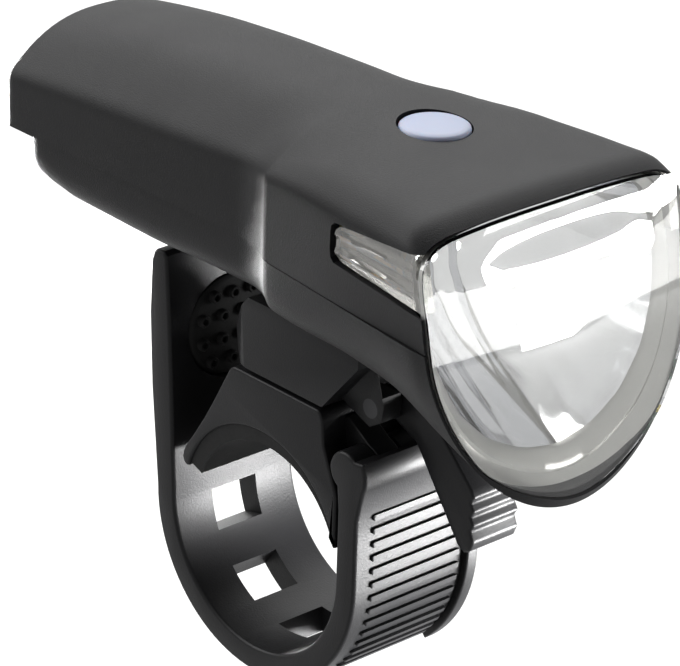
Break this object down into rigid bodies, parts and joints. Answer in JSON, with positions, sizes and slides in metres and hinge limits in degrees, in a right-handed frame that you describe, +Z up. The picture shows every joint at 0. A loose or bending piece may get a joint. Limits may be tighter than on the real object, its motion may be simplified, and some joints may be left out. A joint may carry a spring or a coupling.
{
  "type": "bicycle headlight",
  "caption": "Black plastic bicycle headlight with an arched hood, chrome reflector behind a clear lens, translucent mode button and a swivelling handlebar bracket with a loop strap.",
  "frame": {"origin": "middle of the handlebar axis in the clamp pad", "axes": "+X along the handlebar, -Y where the beam points, +Z up"},
  "size_m": [0.0504, 0.1074, 0.0933],
  "materials": {
    "black_plastic": "fine spark-eroded grain",
    "clear_lens": "clear moulded polycarbonate",
    "chrome_plastic": "vacuum-coated mirror",
    "button_plastic": "translucent satin",
    "black_rubber": "matt",
    "board": "solder mask",
    "steel": "plain",
    "aluminium": "extruded",
    "brass": "sprung sheet",
    "cell_sleeve": "plain shrink sleeve",
    "led_dome": "phosphor"
  },
  "bodies": {
    "saddle_body": {"saddle": "black_plastic", "bar_pad": "black_rubber", "swivel_screw": "steel", "swivel_washer": "steel", "swivel_nut": "steel", "strap_pin": "steel"},
    "strap_body": {"strap": "black_plastic", "grip_pad": "black_rubber"},
    "shoe_body": {"shoe": "black_plastic", "lever_pin": "steel"},
    "lever_body": {"release_lever": "black_plastic"},
    "lamp_body": {"upper_shell": "black_plastic", "lower_shell": "black_plastic", "front_lens": "clear_lens", "lens_gasket": "black_rubber", "reflector": "chrome_plastic", "led_board": "board", "led_emitter": "led_dome", "heat_sink": "aluminium", "circuit_board": "board", "tact_switch": "steel", "indicator_led": "led_dome", "cell_left": "cell_sleeve", "cell_right": "cell_sleeve", "cell_contacts": "brass", "usb_socket": "steel", "shell_screws": "steel"},
    "button_body": {"mode_button": "button_plastic"},
    "cover_body": {"usb_cover": "black_rubber"}
  },
  "joints": [
    {"name": "bracket_swivel", "type": "hinge", "parent": "saddle_body", "child": "shoe_body", "pos_m": [0, -0.004, 0.027], "axis": [0, 0, 1], "range_deg": [-12, 12]},
    {"name": "lamp_slide", "type": "slide", "parent": "shoe_body", "child": "lamp_body", "axis": [0, -1, 0], "range_m": [0, 0.034]},
    {"name": "lever_press", "type": "hinge", "parent": "shoe_body", "child": "lever_body", "pos_m": [0, -0.0185, 0.0282], "axis": [-1, 0, 0], "range_deg": [0, 8], "stiffness_Nm_per_rad": 0.4},
    {"name": "button_press", "type": "slide", "parent": "lamp_body", "child": "button_body", "axis": [0, 0, -1], "range_m": [0, 0.0006], "stiffness_N_per_m": 1500},
    {"name": "cover_open", "type": "hinge", "parent": "lamp_body", "child": "cover_body", "pos_m": [0, 0.0562, 0.0526], "axis": [-1, 0, 0], "range_deg": [0, 100]},
    {"name": "strap_open", "type": "hinge", "parent": "saddle_body", "child": "strap_body", "pos_m": [0, -0.0172, 0.0185], "axis": [-1, 0, 0], "range_deg": [0, 45]}
  ]
}
